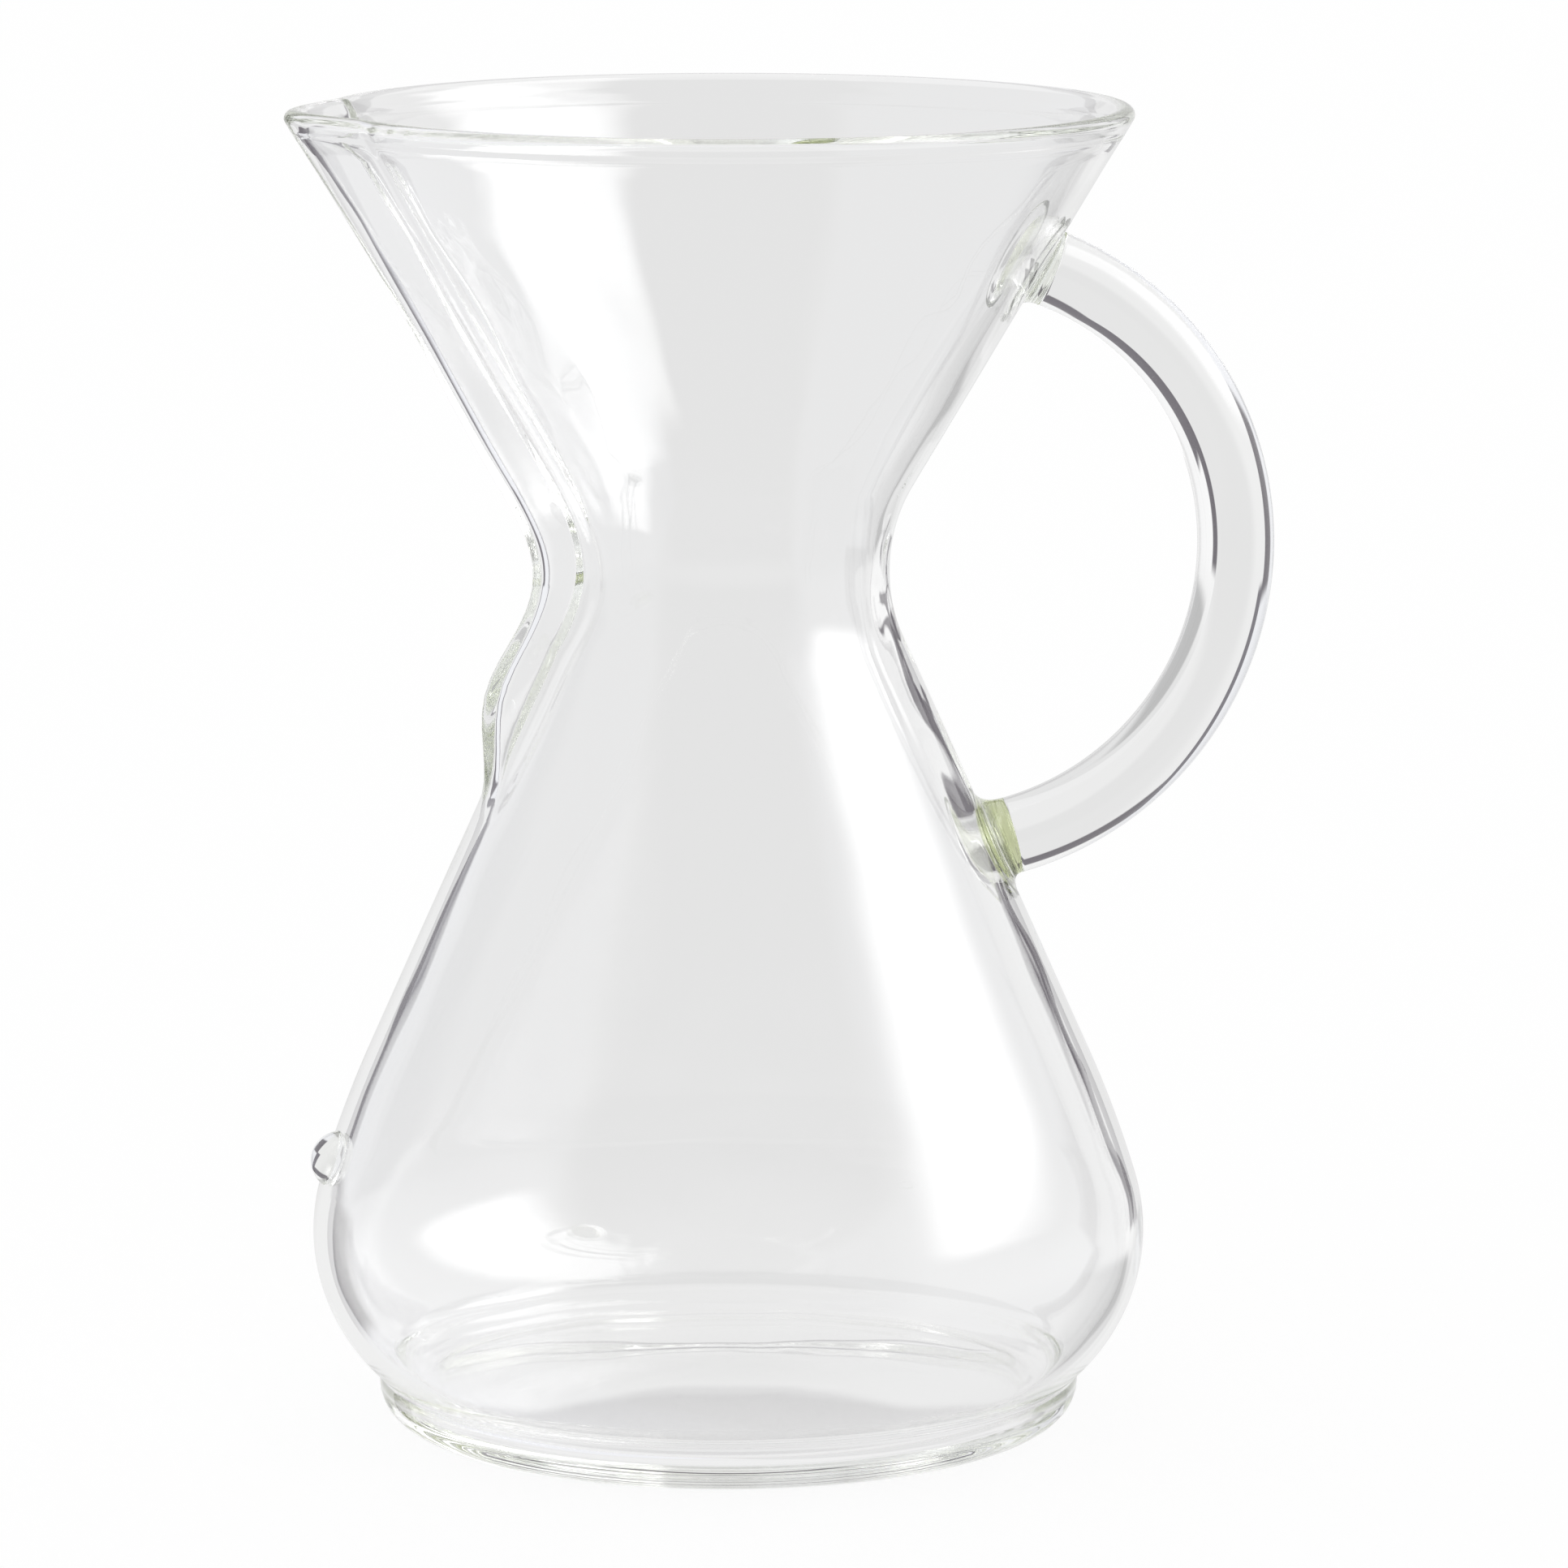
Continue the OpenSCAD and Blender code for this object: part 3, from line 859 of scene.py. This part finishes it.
@dataclass
class Weld:
    """Melted glass that flares from one end of the rod into the wall. Millimetres."""

    handle: RodHandle
    end: WeldEnd
    fillet: float = 3.6
    overlap: float = 0.05
    sides: int = 120
    flare_rings: int = 14
    foot_rings: int = 6
    furrow: float = 0.06
    furrow_waves: float = 3.2
    furrow_run: float = 0.8
    furrow_seed: float = 4.0
    sight: float = 9.0

    @property
    def rod_turn(self) -> float:
        """Angle of the rod's end on the bow."""
        return self.handle.top_turn if self.end is WeldEnd.UPPER else self.handle.foot_turn

    @property
    def inward(self) -> Vector:
        """Direction from the rod's end into the wall."""
        way = self.handle.along(self.rod_turn)
        return way if self.end is WeldEnd.UPPER else -way

    def rod_place(self, radius: float, around: float) -> Vector:
        """Gives a place in the plane of the rod's end.

        Args:
            radius: Distance from the rod's middle line.
            around: Angle round it, in radians.

        Returns:
            The place.
        """
        return self.handle.at(self.rod_turn, radius * math.cos(around), radius * math.sin(around))

    def column(self, around: float) -> list[Vector]:
        """Lays one column of the weld: the cap, the flare and the foot on the wall.

        Args:
            around: Angle round the rod, in radians.

        Returns:
            The places from pole to pole.
        """
        body, inward = self.handle.body, self.inward
        radius = self.handle.rod_d / 2
        back = inward * -(self.sight * MM)
        cap = self.rod_place(0, 0)
        start = self.rod_place(radius, around)
        corner, _ = body.meet(start + back, inward)
        edge, normal = body.meet(self.rod_place(radius + self.fillet, around) + back, inward)
        edge -= normal * self.overlap * MM
        flare = []
        for k in range(self.flare_rings + 1):
            t = k / self.flare_rings
            place = start * (1 - t) ** 2 + corner * 2 * t * (1 - t) + edge * t ** 2
            furrow = math.sin(math.pi * t) ** 2 * noise.noise(
                Vector((math.cos(around) * self.furrow_waves, math.sin(around) * self.furrow_waves,
                        t * self.furrow_run + self.furrow_seed)))
            flare.append(place + (place - cap).normalized() * furrow * self.furrow * MM)
        foot = []
        for k in range(1, self.foot_rings + 1):
            spread = (radius + self.fillet) * (1 - k / (self.foot_rings + 1))
            place, normal = body.meet(self.rod_place(spread, around) + back, inward)
            foot.append(place - normal * self.overlap * MM)
        pole, normal = body.meet(cap + back, inward)
        return [cap] + flare + foot + [pole - normal * self.overlap * MM]

    def build(self) -> Object:
        """Builds the weld and dresses it.

        Returns:
            The finished piece.
        """
        columns = [self.column(i / self.sides * math.tau) for i in range(self.sides)]

        def place(ring: int, around: float) -> Vector:
            """Returns the place of a ring in the column at an angle."""
            return columns[round(around / math.tau * self.sides) % self.sides][ring]

        weld = turned(self.flare_rings + 1 + self.foot_rings, self.sides, place)
        piece = make_piece(f"{self.end.value}_weld", weld)
        lot = GlassLot.THIN_MELT if self.end is WeldEnd.UPPER else GlassLot.THICK_MELT
        lot.value.dress(piece)
        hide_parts(f"{self.end.value}_handle_weld")
        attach(piece, "root")
        return piece


@dataclass
class LevelButton:
    """The small glass button on the flask below the spout. Millimetres."""

    body: BlownBody
    button_d: float = 9.6
    button_proud: float = 3.4
    button_z: float = 46.5
    clearance: float = 0.03
    sides: int = 96
    dome_rings: int = 22
    foot_rings: int = 5

    def build(self) -> Object:
        """Builds the button square to the wall and dresses it.

        Returns:
            The finished piece.
        """
        half = self.button_d / 2
        low_r = self.body.wall_r(self.button_z - half)
        high_r = self.body.wall_r(self.button_z + half)
        tilt = math.atan((low_r - high_r) / self.button_d)
        out = Vector((-math.cos(tilt), 0.0, math.sin(tilt)))
        up = Vector((math.sin(tilt), 0.0, math.cos(tilt)))
        side = Vector((0.0, 1.0, 0.0))
        middle = Vector((-self.body.wall_r(self.button_z), 0.0, self.button_z)) * MM
        dome_r = (half ** 2 + self.button_proud ** 2) / (2 * self.button_proud)
        dome_turn = math.asin(half / dome_r)

        def spoke(radius: float, around: float) -> Vector:
            """Gives a place in the plane of the button's foot."""
            return middle + (up * math.cos(around) + side * math.sin(around)) * radius * MM

        def place(ring: int, around: float) -> Vector:
            """Returns a place over the dome, or back under it along the wall."""
            if ring <= self.dome_rings:
                turn = dome_turn * ring / self.dome_rings
                height = self.button_proud - dome_r * (1 - math.cos(turn))
                at = spoke(dome_r * math.sin(turn), around) + out * height * MM
                if ring < self.dome_rings:
                    return at
            share = 1 - (ring - self.dome_rings) / (self.foot_rings + 1)
            hit, normal = self.body.meet(spoke(half * share, around) + out * half * 2 * MM, -out)
            return hit + normal * self.clearance * MM

        button = turned(self.dome_rings + self.foot_rings, self.sides, place)
        piece = make_piece("level_button_dome", button)
        GlassLot.BUTTON.value.dress(piece)
        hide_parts("level_button")
        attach(piece, "root")
        return piece


# ---- the studio


@dataclass(frozen=True)
class PhotoCamera:
    """The photograph's camera: a long lens, a little above the rim and left of the side view."""

    distance: float = 1.340
    height: float = 0.3363
    around: float = -8.0
    down: float = 9.613
    aside: float = 0.4076
    focal_pixels: float = 9840.0
    sensor_mm: float = 36.0
    nearest: float = 0.05
    farthest: float = 60.0

    def place(self) -> None:
        """Puts the camera in the scene and makes it the scene's camera."""
        data = bpy.data.cameras.new("photo_camera")
        data.sensor_width = self.sensor_mm
        data.lens = self.focal_pixels * self.sensor_mm / FRAME_PIXELS
        data.clip_start, data.clip_end = self.nearest, self.farthest
        camera = bpy.data.objects.new("photo_camera", data)
        turn = math.radians(self.around)
        camera.location = (self.distance * math.sin(turn), -self.distance * math.cos(turn),
                           self.height)
        camera.rotation_euler = (math.radians(90 - self.down), 0.0,
                                 math.radians(self.around - self.aside))
        bpy.context.scene.collection.objects.link(camera)
        bpy.context.scene.camera = camera


@dataclass(frozen=True)
class Patch:
    """A lit panel, a wall or a dark gap of the studio, seen only in the glass.

    The angles are in degrees. Start and stop count round the axis from straight behind, to the
    right; low and high count from the horizon. Outside an edge the patch fades over a soft width.
    """

    level: float
    start: float
    stop: float
    low: float = -95.0
    high: float = 95.0
    soft_start: float = 2.0
    soft_stop: float = 2.0
    soft_low: float = 2.0
    soft_high: float = 2.0
    colour: str = "#FFFFFF"


@dataclass
class Studio:
    """A white room, pale to the camera, whose panels and dark gaps draw the edges of the glass.

    The levels are strengths, of which 1 is white. The room lights the floor; the far side is what
    the glass sees behind the camera.
    """

    behind: float = -8.0
    white: float = 1.0
    room: float = 0.8
    far_side: float = 0.45
    floor_level: float = 0.93
    floor_grey: str = "#515151"
    floor_half: float = 12.0
    floor_drop_mm: float = 0.05
    light_bounces: int = 200
    patches: tuple[Patch, ...] = (
        # side walls and ceiling, the table in front, and the left wall in cooler light
        Patch(0.97, -118, 118, soft_start=20, soft_stop=20),
        Patch(0.78, -181, 181, high=-20, soft_high=12),
        Patch(0.93, -120, -33, soft_start=10, soft_stop=4, colour="#FAFBFF"),
        # the gaps between the backdrop and the walls
        Patch(1.0, -48, 10, -24, 33, soft_start=4, soft_low=5, soft_high=4, colour="#6E6A70"),
        Patch(1.0, 0, 28, -9, 33, soft_stop=1.5, soft_low=1.5, soft_high=4, colour="#6E6A70"),
        Patch(1.0, 20, 35, 2, 33, soft_stop=2, soft_low=2, soft_high=4, colour="#6E6A70"),
        Patch(0.93, -70, -33, 0, 40, soft_start=4, soft_low=3, soft_high=4, colour="#FAFBFF"),
        # the table's grey far edge on the right
        Patch(0.5, 30, 56, -30, -15, soft_start=3, soft_stop=8, soft_low=8, soft_high=3),
        # the backdrop, its greyer middle, and the thin dark line at its left edge
        Patch(0.87, -33, 22, -95, 19, soft_start=1.5, soft_stop=1.0, soft_high=3),
        Patch(0.805, -10, 22, -10.5, 19, soft_start=12, soft_stop=1.0, soft_low=4, soft_high=3),
        Patch(1.0, -34, -28, -3, 33, soft_start=1.5, soft_stop=1.2, soft_low=1.5,
              colour="#76737A"),
        # the soft box on the right: its dim lower rim, its lower and its upper half
        Patch(1.3, 78, 117, 16, 46, soft_stop=10, soft_start=16, soft_low=6),
        Patch(4.6, 82, 106, 18, 48, soft_start=20, soft_stop=18, soft_low=11, soft_high=6),
        Patch(3.6, 84, 116, 44, 68, soft_start=20, soft_stop=21, soft_low=4, soft_high=6),
    )

    def light_room(self) -> None:
        """Builds the world: plain white for the camera, the studio's picture for the glass."""
        world = bpy.data.worlds.new("studio")
        bpy.context.scene.world = world
        world.use_nodes = True
        tree = world.node_tree
        tree.nodes.clear()
        way = add_node(tree, "TexCoord")
        turned = add_node(tree, "Mapping", None,
                          {"Vector": way.outputs["Generated"],
                           "Rotation": (0.0, 0.0, math.radians(-self.behind))})
        parts = add_node(tree, "SeparateXYZ", None, {"Vector": turned.outputs["Vector"]})
        turn = add_node(tree, "Math", {"operation": "ARCTAN2"},
                        {0: parts.outputs["X"], 1: parts.outputs["Y"]})
        rise = add_node(tree, "Math", {"operation": "ARCSINE"}, {0: parts.outputs["Z"]})
        around, above = (add_node(tree, "Math", {"operation": "DEGREES"},
                                  {0: angle.outputs["Value"]}) for angle in (turn, rise))
        picture = add_node(tree, "RGB").outputs[0]
        picture.default_value = (*[self.far_side] * 3, 1.0)
        for patch in self.patches:
            picture = self.add_patch(tree, patch, around.outputs["Value"],
                                     above.outputs["Value"], picture)
        rays = add_node(tree, "LightPath")
        seen = add_node(tree, "Math", {"operation": "MAXIMUM"},
                        {0: rays.outputs["Is Glossy Ray"], 1: rays.outputs["Is Transmission Ray"]})
        in_glass = add_node(tree, "Mix", {"data_type": "RGBA"},
                            {0: seen.outputs["Value"], 6: (*[self.room] * 3, 1.0), 7: picture})
        shown = add_node(tree, "Mix", {"data_type": "RGBA"},
                         {0: rays.outputs["Is Camera Ray"], 6: in_glass.outputs[2],
                          7: (*[self.white] * 3, 1.0)})
        glow = add_node(tree, "Background", None, {"Color": shown.outputs[2]})
        add_node(tree, "OutputWorld", None, {"Surface": glow.outputs["Background"]})

    def add_patch(self, tree: NodeTree, patch: Patch, around: NodeSocket, above: NodeSocket,
                  picture: NodeSocket) -> NodeSocket:
        """Lays one patch over the studio's picture.

        Args:
            tree: The world's nodes.
            patch: The patch.
            around: Angle round the axis from straight behind, in degrees.
            above: Angle above the horizon, in degrees.
            picture: The picture so far.

        Returns:
            The picture with the patch on it.
        """
        share = None
        for value, edge, soft, side in ((around, patch.start, patch.soft_start, -1),
                                        (around, patch.stop, patch.soft_stop, 1),
                                        (above, patch.low, patch.soft_low, -1),
                                        (above, patch.high, patch.soft_high, 1)):
            fade = add_node(tree, "MapRange", {"interpolation_type": "SMOOTHSTEP"},
                            {"Value": value, "From Min": edge + side * soft,
                             "From Max": edge}).outputs["Result"]
            share = fade if share is None else add_node(
                tree, "Math", {"operation": "MULTIPLY"}, {0: share, 1: fade}).outputs["Value"]
        shade = tuple(patch.level * c for c in linear(patch.colour)[:3])
        return add_node(tree, "Mix", {"data_type": "RGBA"},
                        {0: share, 6: picture, 7: (*shade, 1.0)}).outputs[2]

    def lay_floor(self) -> None:
        """Lays the pale floor, which keeps the faint shadow of the glass."""
        plane = bmesh.new()
        bmesh.ops.create_grid(plane, x_segments=1, y_segments=1, size=self.floor_half)
        bmesh.ops.translate(plane, verts=plane.verts, vec=(0, 0, -self.floor_drop_mm * MM))
        floor = make_piece("studio_floor", plane)
        floor.data.materials.append(self.floor_paper())
        floor.visible_glossy = floor.visible_transmission = False

    def floor_paper(self) -> Material:
        """Builds the floor's white paper, lit from within so that it meets the background.

        Returns:
            The material.
        """
        made = bpy.data.materials.new("white_seamless_paper")
        made.use_nodes = True
        tree = made.node_tree
        tree.nodes.clear()
        rays = add_node(tree, "LightPath")
        level = add_node(tree, "Mix", {"data_type": "FLOAT"},
                         {"Factor": rays.outputs["Is Camera Ray"], "A": self.room,
                          "B": self.floor_level})
        glow = add_node(tree, "Emission", None,
                        {"Color": linear("#FFFFFF"), "Strength": level.outputs["Result"]})
        paper = add_node(tree, "BsdfDiffuse", None, {"Color": linear(self.floor_grey)})
        both = add_node(tree, "AddShader", None,
                        {0: glow.outputs["Emission"], 1: paper.outputs["BSDF"]})
        add_node(tree, "OutputMaterial", None, {"Surface": both.outputs["Shader"]})
        return made

    def set_picture(self) -> None:
        """Sets the plain view transform and lets light pass through many layers of glass."""
        scene = bpy.context.scene
        scene.view_settings.view_transform = "Standard"
        scene.cycles.max_bounces = self.light_bounces
        scene.cycles.transmission_bounces = self.light_bounces
        scene.cycles.glossy_bounces = self.light_bounces


def report(piece: Object) -> None:
    """Logs a piece with its number of triangles."""
    piece.data.calc_loop_triangles()
    LOG.info("%s: %d triangles", piece.name, len(piece.data.loop_triangles))


def main() -> None:
    """Builds the coffee maker piece by piece, then the studio round it."""
    logging.basicConfig(level=logging.INFO, format="%(name)s: %(message)s")
    studio = Studio()
    PhotoCamera().place()
    body = BlownBody()
    report(body.build())
    handle = RodHandle(body)
    report(handle.build())
    for end in WeldEnd:
        report(Weld(handle, end).build())
    report(LevelButton(body).build())
    studio.light_room()
    studio.lay_floor()
    studio.set_picture()


if __name__ == "__main__":
    main()
